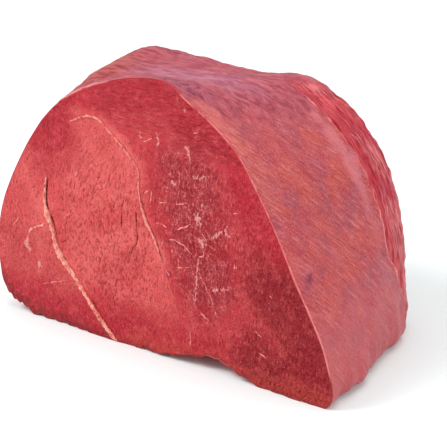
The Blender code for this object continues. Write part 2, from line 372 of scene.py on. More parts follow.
def mark(piece, name, values):
    """Keeps a value at each corner of a piece, for its finish to read."""
    layer = piece.data.attributes.new(name, "FLOAT", "POINT")
    layer.data.foreach_set("value", np.asarray(values, np.float32))


def copy_of_solid():
    """A merged copy of the roast's solid, in quads, with its flat base made one face in a border."""
    choose_only(frame["nodes"][SOLID])
    bpy.ops.object.duplicate()
    piece = bpy.context.object
    piece.name = "silverskin_body"
    piece.data.name = "silverskin_body"
    del piece["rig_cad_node"]
    piece.parent = None
    piece.data.materials.clear()
    bpy.ops.mesh.customdata_custom_splitnormals_clear()
    bpy.ops.object.mode_set(mode="EDIT")
    bpy.ops.mesh.select_all(action="SELECT")
    bpy.ops.mesh.remove_doubles(threshold=MERGE_GAP)
    bpy.ops.mesh.tris_convert_to_quads(face_threshold=QUAD_ANGLE, shape_threshold=QUAD_ANGLE)
    leave_edit()
    choose(piece, lambda face: face.normal.z < -0.999 and face.center.z < MERGE_GAP)
    bpy.ops.mesh.dissolve_faces()
    bpy.ops.mesh.inset(thickness=BASE_BORDER, use_even_offset=True)
    leave_edit()
    return piece


def looks_forward(face):
    return face.normal.y < FACES_FORWARD and face.center.y < CUT_PLANE + CUT_FACE_REACH


def draw_in():
    """Narrows the selection towards the cut face's middle, so that it stays under the silverskin."""
    narrower = (RECESS_NARROWS, 1, RECESS_NARROWS)
    bpy.ops.transform.resize(value=narrower, center_override=(0, CUT_PLANE, 0.5 * HIGH.z))


def place_of(face):
    """A face's middle in whole micrometres, to find the same face again in a copy."""
    return tuple(round(part / MM, 3) for part in face.center)


def split_cut_face(body):
    """Frames the cut face with the silverskin's edge, and takes off the meat inside as a piece."""
    choose(body, looks_forward)
    bpy.ops.mesh.inset(thickness=LIP_WIDTH - LIP_OVERLAP, use_even_offset=True)
    bpy.ops.mesh.duplicate()
    bpy.ops.mesh.separate(type="SELECTED")
    leave_edit()
    meat = next(obj for obj in bpy.context.selected_objects if obj != body)
    meat.name = "cut_meat"
    meat.data.name = "cut_meat"
    taken = {place_of(face) for face in meat.data.polygons}
    choose(body, lambda face: place_of(face) in taken)
    bpy.ops.mesh.inset(thickness=LIP_OVERLAP, use_even_offset=True)
    bpy.ops.mesh.extrude_region_move(TRANSFORM_OT_translate={"value": (0, WALL_DEPTH, 0)})
    body.vertex_groups.new(name="recess")
    bpy.ops.object.vertex_group_assign()
    bpy.ops.mesh.extrude_region_move(TRANSFORM_OT_translate={"value": (0, RECESS_DEPTH - WALL_DEPTH, 0)})
    draw_in()
    bpy.ops.mesh.dissolve_faces()
    leave_edit()
    return meat


def rim_of(piece):
    """The numbers of the corners on a sheet's open border."""
    uses = {}
    for face in piece.data.polygons:
        for key in face.edge_keys:
            uses[key] = uses.get(key, 0) + 1
    return sorted({corner for key, count in uses.items() if count == 1 for corner in key})


def gap_to_corners(places, border):
    """How far each place lies from the nearest corner of a border."""
    tree = kdtree.KDTree(len(border))
    for index, place in enumerate(border):
        tree.insert(place, index)
    tree.balance()
    return np.array([tree.find(place)[2] for place in places])


def strokes(x, z, rows, reach=1.0):
    """The strongest of many strokes at each place: 1 on a stroke's line, 0 past its half width."""
    strongest = np.zeros(len(x))
    for width, strength, *points in rows:
        line = path_through(points, steps=4)
        gap = gap_to(x, z, line)[0]
        strongest = np.maximum(strongest, strength * np.clip(1 - gap / (width * reach * MM), 0, 1))
    return strongest


def lip_heights(x, z, body):
    """How far forward the silverskin's edge stands, at the nearest place on it."""
    places, normals = corners_of(body), normals_of(body)
    recess = np.array([sum(group.weight for group in corner.groups) for corner in body.data.vertices])
    in_front = places[:, 1] < CUT_PLANE + CUT_FACE_REACH
    edge = places[(normals[:, 1] < -0.5) & (recess < 0.02) & in_front]
    tree = kdtree.KDTree(len(edge))
    for index, (edge_x, edge_y, edge_z) in enumerate(edge.tolist()):
        tree.insert((edge_x, 0, edge_z), index)
    tree.balance()
    return np.array([edge[tree.find((a, 0, b))[1], 1] for a, b in zip(x.tolist(), z.tolist())])


def refine_cut_face(meat):
    """Fine, even faces, smoothed everywhere but at the border that meets the silverskin."""
    choose(meat, lambda edge: abs(run(meat, edge).x) > abs(run(meat, edge).z), kind="edges")
    bpy.ops.mesh.subdivide(number_cuts=2)
    leave_edit()
    choose(meat, lambda edge: abs(run(meat, edge).z) > abs(run(meat, edge).x), kind="edges")
    bpy.ops.mesh.subdivide(number_cuts=1)
    leave_edit()
    border = set(rim_of(meat))
    choose(meat, lambda face: not border.intersection(face.vertices))
    for pass_number in range(SMOOTHING_PASSES):
        bpy.ops.mesh.vertices_smooth(factor=0.5)
    leave_edit()
    refine(meat, 2)


def zones_of(places, rim):
    """The shares of each kind of meat at each corner of the cut face, with wandering borders."""
    x, z = places[:, 0], places[:, 2]
    arc_gap, arc_side, arc_run = gap_to(x, z, path_through(ARC))
    stray_x = stray(x, places, (5, 9), (2, 3), seeds=(21, 22))
    stray_z = stray(z, places, (5, 9), (2, 3), seeds=(23, 24))
    stray_rim = stray(rim, places, (3, 8), (1.5, 2.5), seeds=(25, 26))
    arc_away = np.where(arc_side > 0, arc_gap, -arc_gap) + 2 * MM * rough(places, 3 * MM, seed=27)
    outside = smooth_step(-1 * MM, 7 * MM, arc_away) * smooth_step(-46 * MM, -26 * MM, stray_x)
    outside *= 0.75 + 0.25 * smooth_step(20 * MM, 55 * MM, stray_z)
    crimson = np.maximum(crimson_share(stray_x, stray_z, stray_rim), 0.6 * outside)
    crimson = np.maximum(crimson, 0.75 * smooth_step(38 * MM, 8 * MM, stray_z))
    crimson = np.maximum(crimson, 0.3 * oval(stray_x, stray_z, *ABOVE_SEAM))
    return {
        "crimson": crimson,
        "plum": plum_share(stray_x, stray_z),
        "deep": deep_share((x + stray_x) / 2, (z + stray_z) / 2, (rim + stray_rim) / 2),
        "foot": foot_share(stray_x, stray_z),
    }


def grooves_of(x, z):
    """The groove at the right of the gristle seam and the fainter one at the right of the arc."""
    seam_gap, seam_side, seam_run = gap_to(x, z, path_through(SEAM))
    arc_gap, arc_side, arc_run = gap_to(x, z, path_through(ARC))
    beside = np.where(z > 56 * MM, 0.9 * MM, 1.7 * MM)
    groove = np.where(seam_side > 0, np.exp(-((seam_gap - beside) / (0.55 * MM)) ** 2), 0)
    groove *= smooth_step(78 * MM, 70 * MM, z) * (0.35 + 0.65 * smooth_step(44 * MM, 60 * MM, z))
    arc_groove = np.exp(-((arc_gap - 0.7 * MM) / (0.6 * MM)) ** 2) * (arc_side > 0)
    arc_groove *= smooth_step(10 * MM, 30 * MM, arc_run)
    return groove, arc_groove, seam_side > 0


def flecks_of(places):
    """The broad fat flecks, with ragged edges."""
    stroke_x = stray(places[:, 0], places, (1.0, 1.6), (0.6, 0.7), seeds=(28, 34))
    stroke_z = stray(places[:, 2], places, (1.0, 1.6), (0.6, 0.7), seeds=(29, 35))
    return strokes(stroke_x, stroke_z, [row for row in THREADS if row[0] >= BLOB_WIDTH], reach=1.4)


def shore_share(places, rim):
    """The darker meat along the lower edge, broadest at the left."""
    x, z = places[:, 0], places[:, 2]
    width = 2 * MM + 3 * MM * smooth_step(-20 * MM, -50 * MM, x)
    shore = np.exp(-rim / width) * (1 + 0.9 * rough(places, 4 * MM, (2, 1, 1), seed=33))
    shore *= smooth_step(28 * MM, 12 * MM, z) * (1 - 0.5 * smooth_step(-20 * MM, 10 * MM, x))
    return np.clip(shore, 0, 1)


def meet_lip(places, rim, body):
    """Brings the cut face's border flush with the silverskin's edge."""
    near = rim < LIP_BLEND
    share = smooth_step(0, LIP_BLEND, rim[near])
    lip = lip_heights(places[near, 0], places[near, 2], body) - LIP_SINKS
    places[near, 1] = lip + share * (places[near, 1] - lip)


def build_cut_meat(meat, body):
    """The meat inside the silverskin's edge: refined, given its grain, cracks and seams, and closed."""
    refine_cut_face(meat)
    places = corners_of(meat)
    x, z = places[:, 0], places[:, 2]
    rim = gap_to_corners(places, places[rim_of(meat)])
    zones = zones_of(places, rim)
    grain, level = grain_of(places, zones)
    cracks = strokes(x, z, CRACKS)
    fat = flecks_of(places)
    groove, arc_groove, right_of_seam = grooves_of(x, z)

    inside = smooth_step(0.2 * MM, 1.6 * MM, rim)
    meet_lip(places, rim, body)
    inward = inside * (GRAIN_DEPTH * grain + CRACK_DEPTH * cracks + SEAM_GROOVE * groove)
    inward += inside * (ARC_GROOVE * arc_groove - FAT_HEIGHT * np.clip(fat, 0, 0.6))
    inward += inside * SWELL * rough(places, 9 * MM, seed=3)
    places[:, 1] += inward
    places[:, 2] += fray(places)
    move_corners(meat, keep_in_box(places))

    for name, share in zones.items():
        mark(meat, name, share)
    mark(meat, "grain", grain)
    mark(meat, "level", level)
    # The cracks and the grooves beside the seam and the arc are darkened with painted shade, on top of their
    # real depth
    mark(meat, "crack_shade", np.maximum(np.maximum(cracks, groove), 0.35 * arc_groove))
    mark(meat, "fat", fat)
    mark(meat, "blood", blood_share(x, z))
    mark(meat, "shore", shore_share(places, rim))
    mark(meat, "flap", np.where(right_of_seam, 0, 1) * smooth_step(62 * MM, 34 * MM, z))
    close_behind(meat)
    return meat


def run(piece, edge):
    """The step from one end of an edge to the other."""
    start, end = (piece.data.vertices[corner].co for corner in edge.vertices)
    return end - start


def close_behind(sheet):
    """Gives a sheet its thickness: its border is drawn back in two steps and closed with a face."""
    choose_only(sheet)
    bpy.ops.object.mode_set(mode="EDIT")
    bpy.ops.mesh.select_mode(type="EDGE")
    bpy.ops.mesh.select_all(action="DESELECT")
    bpy.ops.mesh.select_non_manifold()
    bpy.ops.mesh.extrude_edges_move(TRANSFORM_OT_translate={"value": (0, WALL_DEPTH, 0)})
    bpy.ops.mesh.extrude_edges_move(TRANSFORM_OT_translate={"value": (0, RECESS_DEPTH - WALL_DEPTH, 0)})
    draw_in()
    bpy.ops.mesh.edge_face_add()
    bpy.ops.mesh.select_all(action="SELECT")
    bpy.ops.mesh.normals_make_consistent(inside=False)
    leave_edit()


def crimson_share(x, z, rim):
    """Where the cut face is a smooth crimson: along the silverskin, and above the arc."""
    width = 11 * MM + 7 * MM * smooth_step(115 * MM, 70 * MM, z)
    along_side = (1 - smooth_step(0.5 * width, 1.25 * width, rim)) * smooth_step(-20 * MM, 15 * MM, x)
    along_side *= smooth_step(6 * MM, 30 * MM, z + 0.35 * np.maximum(x - 40 * MM, 0))
    above = smooth_step(98 * MM, 116 * MM, z + 0.1 * x) * (1 - smooth_step(9 * MM, 24 * MM, rim))
    return np.clip(np.maximum(np.maximum(along_side, above), oval(x, z, *UPPER_LEFT)), 0, 1)


def plum_share(x, z):
    """Where the marbled muscle is duller and more purple."""
    return np.clip(oval(x, z, *MARBLED_HIGH) + oval(x, z, *MARBLED_LOW), 0, 1)


def deep_share(x, z, rim):
    """The dark red meat low at the right, beside the silverskin."""
    beside = 1 - smooth_step(4 * MM, 34 * MM, rim)
    beside *= smooth_step(80 * MM, 36 * MM, z) * smooth_step(30 * MM, 62 * MM, x)
    patches = 0.35 * oval(x, z, *DARK_LOW) + 0.2 * oval(x, z, *DARK_HIGH)
    return np.clip(1.15 * beside + patches, 0, 1)


def blood_share(x, z):
    """The small, clear crimson patches between the fat threads of the marbled muscle."""
    return np.clip(sum(oval(x, z, middle, reach) for middle, reach in CLEAR_CRIMSON), 0, 1)


def fray(places):
    """How far the ragged lower edge of the cut face drops or rises."""
    x, y, z = places.T
    teeth = np.stack([x, np.zeros(len(x)), np.zeros(len(x))], 1)
    height = stray(0, teeth, (1.6, 5), (1.1, 2), seeds=(31, 32))
    height *= 1 + 0.8 * smooth_step(-15 * MM, -35 * MM, x)
    height *= smooth_step(90 * MM, 80 * MM, x)
    return height * smooth_step(7 * MM, 1 * MM, y - CUT_PLANE) * smooth_step(18 * MM, 7 * MM, z)


def keep_in_box(places):
    """Keeps a piece within the solid's own box."""
    low = np.array(LOW) + BOX_MARGIN
    high = np.array(HIGH) - BOX_MARGIN
    low[2] = 0
    return np.clip(places, low, high)


def foot_share(x, z):
    """The more orange meat at the foot of the cut face."""
    return smooth_step(16 * MM, 2 * MM, z) * smooth_step(-30 * MM, 0, x)


def grain_of(places, zones):
    """The pits between fibre bundles, 0 to 1, and where they run level instead of upright."""
    bent = places + 1.5 * MM * drift_of(places, 8 * MM, seeds=(1, 2))
    x, z = places[:, 0], places[:, 2]
    leaning = bent.copy()
    leaning[:, 0] -= 0.3 * bent[:, 2]
    upright = pits(leaning, (0.9, 1, 2.2), seed=4)
    level = pits(bent, (6, 1, 1.15), seed=6)
    small = pits(bent, (1.3, 1, 1.7), seed=8)
    high = smooth_step(98 * MM, 110 * MM, z + 0.1 * x) * smooth_step(-48 * MM, -25 * MM, x)
    middle = np.clip(1.5 * oval(x, z, *MIDDLE_MUSCLE), 0, 1) * (1 - high)
    other = np.clip(1 - high - middle, 0, 1)
    coarse = 0.7 + 0.3 * np.maximum(zones["plum"], zones["deep"])
    mixed = 0.9 * high * level + middle * upright + other * small * coarse
    return np.clip(mixed * (1 - 0.25 * zones["crimson"]), 0, 1), high


def pits(places, stretch, seed):
    """0 on the crests of the fibre bundles, 1 at the bottom of the short pits between them."""
    wide = rough(places, 1 * MM, stretch, seed)
    fine = rough(places, 0.5 * MM, stretch, seed + 20)
    return 1 - smooth_step(-0.45, 0.08, wide + 0.45 * fine)


def past_torn_edge(places, depth):
    """How far each place lies past the silverskin's torn edge: less than nothing on the silverskin."""
    edge = MEMBRANE_DEPTH + MEMBRANE_FOOT_SHIFT * (1 - smooth_step(15 * MM, 50 * MM, places[:, 2]))
    return depth - stray(edge, places, (2.6, 14), (1.4, 4), seeds=(1, 2))


def outside_relief(places, depth, gap, side, top, bare):
    """How far the outside stands out: wrinkles, fibres, lumps, hem, and the knob on the shoulder."""
    z = places[:, 2]
    free = smooth_step(3 * MM, 10 * MM, depth)
    fibre = rough(places, 1 * MM, (20, 2.6, 24), seed=3)
    wrinkle = rough(turned(places), 1 * MM, (6, 16, 2.4), seed=4)
    out = TORN_EDGE_HEIGHT * np.exp(-((gap + 1.2 * MM) / (1.2 * MM)) ** 2) * side
    out += bare * (FIBRE_HEIGHT * fibre - BARE_SINKS + BARE_LUMPS * rough(places, 4.5 * MM, seed=7))
    out += (1 - bare) * side * WRINKLES * wrinkle
    out += (1 - side) * LUMPS * rough(places, 5 * MM, (1.6, 1, 1), seed=5)
    out += (1 - side) * FINE_LUMPS * rough(places, 2 * MM, (1.6, 1, 1), seed=8)
    hidden = (1 - side) * (1 - top) * free
    out += hidden * HIDDEN_SWELLS * rough(places, 12 * MM, (0.8, 0.8, 2.2), seed=18)
    hem = smooth_step(26 * MM, 6 * MM, z)
    out += hem * HEM_LUMPS * rough(places, 7 * MM, (1, 0.8, 2), seed=6)
    out *= free * smooth_step(0.2 * MM, 3 * MM, z)
    from_knob = np.linalg.norm((places - np.array(SHOULDER_KNOB) * MM) / np.array((1, 1.3, 1)), axis=1)
    return out + KNOB_HEIGHT * np.exp(-(from_knob / KNOB_REACH) ** 2)


def mark_torn_edge(body, places, z, gap, side, bare):
    """The pale band before the torn edge, its own pale tone with a painted sheen; the edge, pale and with a
    painted highlight; and the fresh meat past it.
    """
    wandering = gap + 4 * MM * rough(places, 9 * MM, seed=19)
    # A painted sheen over the membrane's pale tone, strongest higher up
    pale_sheen = np.exp(-((wandering + 7 * MM) / (5 * MM)) ** 2) * side * (1 - bare)
    mark(body, "pale_sheen", pale_sheen * (0.4 + 0.6 * smooth_step(60 * MM, 95 * MM, z)))
    # The torn edge: pale, with a painted highlight along its raised line
    mark(body, "torn_edge", np.exp(-(gap / (1.2 * MM)) ** 2) * side)
    fresh = smooth_step(10 * MM, 3 * MM, gap + 5 * MM * rough(places, 7 * MM, seed=17))
    mark(body, "fresh", fresh * bare)
    away = np.linalg.norm(places - np.array(FRESH_MEAT) * MM, axis=1)
    mark(body, "blood", smooth_step(17 * MM, 6 * MM, away + 6 * MM * rough(places, 4 * MM, seed=16)))


def mark_patches(body, places, x, y, z, side):
    """The patches of the top and of the silverskin, with wandering borders."""
    stray_x = stray(x, places, (5, 8), (2.5, 2.5), seeds=(11, 12))
    stray_y = stray(y, places, (5, 8), (2.5, 2.5), seeds=(13, 14))
    high = smooth_step(95 * MM, 105 * MM, z)
    pale = smooth_step(8 * MM, 1 * MM, stray_y - CUT_PLANE) * smooth_step(-12 * MM, -30 * MM, x)
    mark(body, "pale", pale * high)
    mark(body, "orange", np.clip(1.1 * oval(stray_x, stray_y, *TOP_ORANGE), 0, 1) * high)
    # A painted reflection of the sky on the top
    mark(body, "sheen", np.clip(1.2 * oval(stray_x, stray_y, *TOP_SHEEN), 0, 1) * high)
    smudge = 0.85 * side * oval(stray_y, z + (stray_x - x), *SIDE_SMUDGE)
    mottle = np.clip(1.3 * oval(stray_x, stray_y, *TOP_MOTTLE), 0, 1) * high
    mark(body, "mottle", np.maximum(mottle, smudge))
    peach = smooth_step(16 * MM, 5 * MM, stray_y - CUT_PLANE) * smooth_step(16 * MM, 24 * MM, x)
    mark(body, "peach", peach * smooth_step(72 * MM, 108 * MM, z))
    mark(body, "calm", side * smooth_step(52 * MM, 20 * MM, z + 8 * MM * rough(places, 12 * MM, seed=36)))


def mark_rim(body, x, z, depth):
    """The silverskin's edge round the cut face, and where it shows as a pale lip."""
    front = smooth_step(0.9 * MM, 0.2 * MM, depth)
    mark(body, "rim", front)
    mark(body, "low_rim", smooth_step(30 * MM, 14 * MM, z))
    right_ridge = smooth_step(6 * MM, 20 * MM, z) * smooth_step(5 * MM, 20 * MM, x)
    top_left = smooth_step(100 * MM, 106 * MM, z) * smooth_step(-14 * MM, -26 * MM, x)
    mark(body, "lip", front * np.maximum(right_ridge, 0.9 * top_left))


def build_body(body):
    """The silverskin and the natural outside: refined, then given their relief and their marks."""
    choose(body, lambda edge: runs_back(body, edge), kind="edges")
    bpy.ops.mesh.subdivide(number_cuts=1)
    leave_edit()
    crease_edges(body)
    refine(body, 2)
    smooth, normals = corners_of(body), normals_of(body)
    x, y, z = smooth.T
    depth = y - CUT_PLANE
    gap = past_torn_edge(smooth, depth)
    side = smooth_step(18 * MM, 40 * MM, x) * smooth_step(-0.2, 0.3, normals[:, 0])
    top = smooth_step(0.72, 0.93, normals[:, 2] + 0.12 * rough(smooth, 6 * MM, seed=15))
    bare = smooth_step(-0.5 * MM, 1.2 * MM, gap) * side
    out = outside_relief(smooth, depth, gap, side, top, bare)
    places = smooth + normals * out[:, None]
    places[:, 2] += fray(places)
    move_corners(body, keep_in_box(places))

    mark(body, "side", side)
    mark(body, "top", top)
    mark(body, "bare", bare)
    mark_torn_edge(body, places, z, gap, side, bare)
    mark_patches(body, places, x, y, z, side)
    mark_rim(body, x, z, depth)
    return body


def runs_back(piece, edge):
    """Whether an edge runs from the cut face to the back more than any other way."""
    step = run(piece, edge)
    return abs(step.y) > max(abs(step.x), abs(step.z))


def crease_edges(body):
    """Keeps the rim of the cut face and the edge of the flat base crisp."""
    mesh = body.data
    layer = mesh.attributes.get("crease_edge") or mesh.attributes.new("crease_edge", "FLOAT", "EDGE")
    beside = {}
    for face in mesh.polygons:
        for key in face.edge_keys:
            beside.setdefault(key, []).append(face.normal)
    sharp = []
    for edge in mesh.edges:
        normals = beside.get(edge.key, [])
        bend = min((a.dot(b) for a in normals for b in normals), default=1)
        sharp.append(CREASE if bend < CREASE_FROM else 0.0)
    layer.data.foreach_set("value", sharp)


def turned(places):
    """Places with the run of the silverskin's streaks laid along Y."""
    y = places[:, 1] * math.cos(SLANT) - places[:, 2] * math.sin(SLANT)
    z = places[:, 1] * math.sin(SLANT) + places[:, 2] * math.cos(SLANT)
    return np.stack([places[:, 0], y, z], 1)


def height_map(meat):
    """Gives back a function that tells how far forward the cut face stands at a place (x, z)."""
    places = corners_of(meat)
    front = places[places[:, 1] < CUT_PLANE + 3 * MM]
    tree = kdtree.KDTree(len(front))
    for index, (x, y, z) in enumerate(front.tolist()):
        tree.insert((x, 0, z), index)
    tree.balance()

    def stands_at(x, z):
        near = tree.find_n((x, 0, z), 12)
        return float(np.mean([front[index, 1] for place, index, gap in near]))
    return stands_at


def lay_cord(name, points, half_widths, stands_at, sink, flatness=0.5, steps=5, sides=8):
    """A cord on the cut face, bridged ring by ring, that swells and thins and lies half sunk."""
    line = path_through(points, steps)
    reach = np.concatenate([[0], np.cumsum(np.hypot(*np.diff(line, axis=0).T))])
    stations = np.linspace(0, 1, len(half_widths))
    widths = np.interp(reach / reach[-1], stations, half_widths) * MM
    rings = []
    for index, (x, z) in enumerate(line):
        ahead = line[min(index + 1, len(line) - 1)] - line[max(index - 1, 0)]
        across = Vector((ahead[1], 0, -ahead[0])).normalized()
        middle = Vector((x, stands_at(x, z) + sink * widths[index], z))
        bpy.ops.mesh.primitive_circle_add(vertices=sides, radius=widths[index])
        ring = bpy.context.object
        for corner in ring.data.vertices:
            corner.co = middle + across * corner.co.x + Vector((0, flatness * corner.co.y, 0))
        rings.append(ring)
    cord = join(rings, name)
    bpy.ops.object.mode_set(mode="EDIT")
    bpy.ops.mesh.select_mode(type="EDGE")
    bpy.ops.mesh.select_all(action="SELECT")
    bpy.ops.mesh.bridge_edge_loops()
    bpy.ops.mesh.select_all(action="DESELECT")
    bpy.ops.mesh.select_non_manifold()
    bpy.ops.mesh.fill_holes(sides=0)
    bpy.ops.mesh.select_all(action="SELECT")
    bpy.ops.mesh.normals_make_consistent(inside=False)
    leave_edit()
    return cord


def build_seam(stands_at):
    """The gristle seam, with its branch to the left."""
    seam = lay_cord("seam", SEAM, SEAM_WIDTHS, stands_at, sink=0.1, flatness=0.85)
    branch = lay_cord("branch", SEAM_BRANCH, BRANCH_WIDTHS, stands_at, sink=0.2)
    seam = join([seam, branch], "gristle_seam")
    refine(seam, 2)
    places = corners_of(seam)
    normals = normals_of(seam)
    out = 0.6 * MM * rough(places, 2.6 * MM, seed=8) + 0.4 * MM * rough(places, 1.1 * MM, seed=9)
    places += normals * out[:, None]
    places[:, 2] = np.maximum(places[:, 2], 0.1 * MM)
    move_corners(seam, places)
    return seam


def build_marbling(stands_at):
    """The fine fat threads: cords almost wholly sunk, so that the grain of the meat breaks them up."""
    cords = []
    for width, strength, *points in THREADS:
        if width >= BLOB_WIDTH:
            continue
        thin = THREAD_THINS * width
        widths = (0.3 * thin, thin, 0.7 * thin, thin, 0.3 * thin)
        cords.append(lay_cord("thread", points, widths, stands_at, sink=0.2, flatness=0.8, steps=3, sides=5))
    cords.append(lay_cord("thread", ARC, ARC_WIDTHS, stands_at, sink=-0.4, flatness=0.8, steps=4, sides=6))
    threads = join(cords, "marbling_threads")
    refine(threads, 1)
    places = corners_of(threads)
    normals = normals_of(threads)
    out = 0.18 * MM * rough(places, 1.1 * MM, seed=11)
    drift = 0.5 * MM * drift_of(places, 2 * MM, seeds=(12, 13))
    move_corners(threads, places + normals * out[:, None] + drift)
    return threads


def shade(red, green, blue):
    """A colour given as it looks on a screen, 0 to 255, as Blender's linear colour."""
    linear = [((c / 255 + 0.055) / 1.055) ** 2.4 for c in (red, green, blue)]
    return (*linear, 1)


class Finish:
    """A material being mixed: each call adds a node and gives back what it puts out."""

    def __init__(self, name):
        self.material = bpy.data.materials.new(name)
        self.material.use_nodes = True
        self.tree = self.material.node_tree
        self.shader = self.tree.nodes["Principled BSDF"]
        self.places = self.add("ShaderNodeTexCoord").outputs["Object"]

    def add(self, kind, inputs=None, **settings):
        node = self.tree.nodes.new(kind)
        for name, value in settings.items():
            setattr(node, name, value)
        for socket, value in (inputs or {}).items():
            self.feed(node.inputs[socket], value)
        return node

    def feed(self, socket, value):
        if isinstance(value, bpy.types.NodeSocket):
            self.tree.links.new(value, socket)
        else:
            socket.default_value = value

    def layer(self, name):
        return self.add("ShaderNodeAttribute", attribute_name=name).outputs["Fac"]

    def sum(self, operation, first, second=0.0, third=0.0):
        return self.add("ShaderNodeMath", {0: first, 1: second, 2: third}, operation=operation).outputs[0]

    def step(self, value, low, high, to_low=0.0, to_high=1.0):
        inputs = {"Value": value, "From Min": low, "From Max": high, "To Min": to_low, "To Max": to_high}
        return self.add("ShaderNodeMapRange", inputs, interpolation_type="SMOOTHSTEP").outputs["Result"]

    def blend(self, share, under, over, mode="MIX"):
        node = self.add("ShaderNodeMix", {0: share, 6: under, 7: over}, data_type="RGBA", blend_type=mode)
        return node.outputs[2]

    def tint(self, under, over, share, low, high, most=1.0):
        """Lays a colour over another where a value, or a layer of this name, runs from low to high."""
        share = self.layer(share) if isinstance(share, str) else share
        return self.blend(self.step(share, low, high, 0.0, most), under, over)

    def ragged(self, layer, pattern, amount):
        """A layer whose border a pattern breaks up."""
        return self.sum("MULTIPLY_ADD", self.sum("SUBTRACT", pattern, 0.5), amount, self.layer(layer))

    def stretched(self, pitch, stretch, turn=None):
        places = self.places
        if turn is not None:
            places = self.add("ShaderNodeVectorRotate", {"Vector": places, "Angle": turn},
                              rotation_type="X_AXIS").outputs[0]
        scale = tuple(1 / (pitch * part) for part in stretch)
        return self.add("ShaderNodeVectorMath", {0: places, 1: scale}, operation="MULTIPLY").outputs[0]

    def noise(self, pitch, stretch=(1, 1, 1), detail=2.0, roughness=0.5, distortion=0.0, turn=None):
        inputs = {"Vector": self.stretched(pitch, stretch, turn), "Scale": 1.0, "Detail": detail,
                  "Roughness": roughness, "Distortion": distortion}
        return self.add("ShaderNodeTexNoise", inputs).outputs["Fac"]

    def cells(self, pitch, stretch=(1, 1, 1), feature="DISTANCE_TO_EDGE"):
        inputs = {"Vector": self.stretched(pitch, stretch), "Scale": 1.0}
        return self.add("ShaderNodeTexVoronoi", inputs, feature=feature).outputs["Distance"]

    def finish(self, colour, roughness, height, depth, strength=1.0):
        self.feed(self.shader.inputs["Base Color"], colour)
        self.feed(self.shader.inputs["Roughness"], roughness)
        bump = self.add("ShaderNodeBump", {"Height": height, "Distance": depth, "Strength": strength})
        self.tree.links.new(bump.outputs[0], self.shader.inputs["Normal"])
        return self.material


def soften(finish, weight, scale):
    """Light that sinks a little way into the meat."""
    inputs = finish.shader.inputs
    inputs["Specular IOR Level"].default_value = 0.22
    inputs["Subsurface Weight"].default_value = weight
    inputs["Subsurface Radius"].default_value = (1.0, 0.25, 0.15)
    inputs["Subsurface Scale"].default_value = scale


# Colours of the meat and the skin, some of them used in more than one finish
SALMON = shade(218, 76, 78)
PALE_SALMON = shade(238, 104, 101)
CRIMSON = shade(190, 25, 46)
BLOOD = shade(170, 8, 30)
PLUM = shade(158, 26, 44)
DEEP = shade(148, 8, 26)
# Painted shade for the pits of the grain, and painted highlights for the crests between them
PIT_SHADE = shade(128, 14, 28)
PALE_CREST_HIGHLIGHT = shade(238, 116, 110)
ORANGE = shade(200, 68, 56)
FAT = shade(232, 144, 136)
PALE_FAT = shade(234, 152, 148)
ROSE = shade(182, 72, 80)
DUSK = shade(166, 74, 88)
MILK = shade(204, 106, 112)
# Colours of the cut face
FLAP = shade(176, 44, 48)
# Painted highlights for the crests of the crimson meat
CRIMSON_STREAK_HIGHLIGHT = shade(222, 76, 86)
CRIMSON_CREST_HIGHLIGHT = shade(226, 82, 94)
DARK_SPECKLE = shade(112, 6, 22)
# Painted shade for the cracks and grooves
CRACK_PAINTED_SHADE = shade(92, 8, 16)
SHORE = shade(120, 34, 32)
# Colours of the silverskin
WARM_ROSE = shade(190, 76, 74)
WARM_PATCH = shade(196, 84, 74)
PALE_HAIR = shade(218, 124, 126)
DARK_HAIR = shade(150, 38, 52)
THIN_HAIR = shade(226, 138, 138)
PALE_SPECK = shade(220, 126, 130)
DARK_SPECK = shade(126, 28, 44)
CALM_ROSE = shade(192, 90, 97)
# Pale silverskin tone with a painted sheen, for the band before the torn edge
PAINTED_SHEEN_ROSE = shade(216, 128, 136)
PEACH_DARK = shade(188, 80, 76)
PEACH_PALE = shade(220, 124, 116)
# The torn edge's own pale colour with a painted highlight along its raised line
TORN_EDGE_HIGHLIGHT = shade(232, 142, 136)
LOW_RIM = shade(166, 40, 42)
LIP = shade(226, 126, 126)
# Colours of the top and hidden sides
TOP_DARK = shade(146, 50, 68)
TOP_PALE = shade(184, 86, 96)
FLESH_DARK = shade(160, 38, 46)
FLESH_PALE = shade(190, 62, 64)
FILM = shade(198, 100, 106)
RUST_DARK = shade(142, 44, 46)
RUST_PALE = shade(182, 84, 80)
# Painted reflection of the sky on the top
SHEEN_DARK = shade(156, 66, 90)
SHEEN_PALE = shade(184, 110, 130)
MOTTLE_DARK = shade(112, 32, 66)
MOTTLE_PALE = shade(176, 82, 98)
PALE_STRIP = shade(232, 152, 146)
# Colours of the bare muscle
BARE_DARK = shade(160, 26, 50)
BARE_PALE = shade(222, 118, 120)
BARE_PATCH = shade(184, 44, 66)
FRESH_DARK = shade(164, 16, 36)
FRESH_PALE = shade(208, 66, 78)
# Colours of the gristle and fat threads
GRISTLE_DARK = shade(222, 116, 102)
GRISTLE_PALE = shade(242, 170, 152)
GRISTLE_PIT = shade(176, 56, 54)
SUNKEN_FAT = shade(200, 80, 76)


